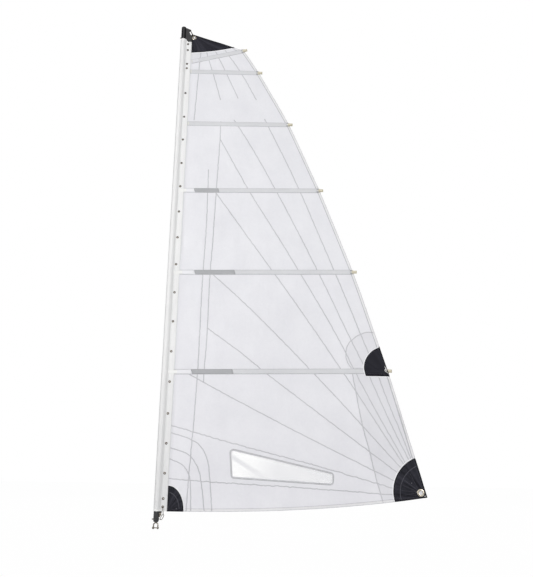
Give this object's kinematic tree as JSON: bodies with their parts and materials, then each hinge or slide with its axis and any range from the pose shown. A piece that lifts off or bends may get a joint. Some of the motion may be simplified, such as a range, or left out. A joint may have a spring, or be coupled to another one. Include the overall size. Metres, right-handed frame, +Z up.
{
  "type": "mainsail",
  "caption": "Fully battened mainsail on its luff spar, with a luff strip and eyelets, a window, corner patches and rings, sliding battens and a swivel foot shackle.",
  "frame": {"origin": "middle of the shackle pin under the spar", "axes": "+Z up the spar, +X aft along the foot, -Y towards the face that carries the batten pockets"},
  "size_m": [2.6423, 0.06, 5.6085],
  "materials": {
    "sailcloth": "crisp woven sailcloth",
    "pocket_cloth": "woven cloth",
    "luff_tape": "heavy woven tape",
    "black_cloth": "layered reinforcing cloth",
    "window_film": "clear film",
    "black_plastic": "moulded, glossy",
    "spar_tube": "black anodised",
    "cream_plastic": "moulded",
    "batten": "glass-fibre strip",
    "steel": "polished stainless"
  },
  "bodies": {
    "shackle": {"foot_shackle": "steel"},
    "shackle_pin": {"foot_shackle_pin": "steel"},
    "sail": {"sail_cloth": "sailcloth", "window_film": "window_film", "head_patch": "black_cloth", "tack_patch": "black_cloth", "clew_patch": "black_cloth", "reef_patch": "black_cloth", "head_ring": "steel", "clew_ring": "steel", "luff_strip": "luff_tape", "eyelet_01": "steel", "eyelet_02": "steel", "eyelet_03": "steel", "eyelet_04": "steel", "eyelet_05": "steel", "eyelet_06": "steel", "eyelet_07": "steel", "eyelet_08": "steel", "eyelet_09": "steel", "eyelet_10": "steel", "eyelet_11": "steel", "eyelet_12": "steel", "eyelet_13": "steel", "eyelet_14": "steel", "eyelet_15": "steel", "eyelet_16": "steel", "eyelet_17": "steel", "eyelet_18": "steel", "eyelet_19": "steel", "eyelet_20": "steel", "eyelet_21": "steel", "batten_pocket_1": "pocket_cloth", "batten_pocket_2": "pocket_cloth", "batten_pocket_3": "pocket_cloth", "batten_pocket_4": "pocket_cloth", "batten_pocket_5": "pocket_cloth", "batten_pocket_6": "pocket_cloth", "luff_spar": "spar_tube", "luff_sleeve": "luff_tape", "spar_cap": "black_plastic", "cap_pin": "steel", "spar_foot": "black_plastic", "foot_pin": "steel", "head_link": "steel", "tack_shackle": "steel", "tack_link": "steel"},
    "batten_unit_1": {"batten_1": "batten", "batten_cap_1": "cream_plastic"},
    "batten_unit_2": {"batten_2": "batten", "batten_cap_2": "cream_plastic"},
    "batten_unit_3": {"batten_3": "batten", "batten_cap_3": "cream_plastic"},
    "batten_unit_4": {"batten_4": "batten", "batten_cap_4": "cream_plastic"},
    "batten_unit_5": {"batten_5": "batten", "batten_cap_5": "cream_plastic"},
    "batten_unit_6": {"batten_6": "batten", "batten_cap_6": "cream_plastic"}
  },
  "joints": [
    {"name": "sail_swivel", "type": "hinge", "parent": "shackle", "child": "sail", "pos_m": [0, 0, 0], "axis": [0, 0, 1], "continuous": true},
    {"name": "shackle_pin_pull", "type": "slide", "parent": "shackle", "child": "shackle_pin", "axis": [-1, 0, 0], "range_m": [0, 0.062]},
    {"name": "batten_1_draw", "type": "slide", "parent": "sail", "child": "batten_unit_1", "axis": [0.9699, 0, 0.2436], "range_m": [0, 0.54]},
    {"name": "batten_2_draw", "type": "slide", "parent": "sail", "child": "batten_unit_2", "axis": [0.9999, 0, -0.0137], "range_m": [0, 0.703]},
    {"name": "batten_3_draw", "type": "slide", "parent": "sail", "child": "batten_unit_3", "axis": [1, 0, -0.0035], "range_m": [0, 1.056]},
    {"name": "batten_4_draw", "type": "slide", "parent": "sail", "child": "batten_unit_4", "axis": [1, 0, 0.0094], "range_m": [0, 1.394]},
    {"name": "batten_5_draw", "type": "slide", "parent": "sail", "child": "batten_unit_5", "axis": [0.9999, 0, 0.0136], "range_m": [0, 1.74]},
    {"name": "batten_6_draw", "type": "slide", "parent": "sail", "child": "batten_unit_6", "axis": [0.9999, 0, 0.0161], "range_m": [0, 2.07]}
  ]
}
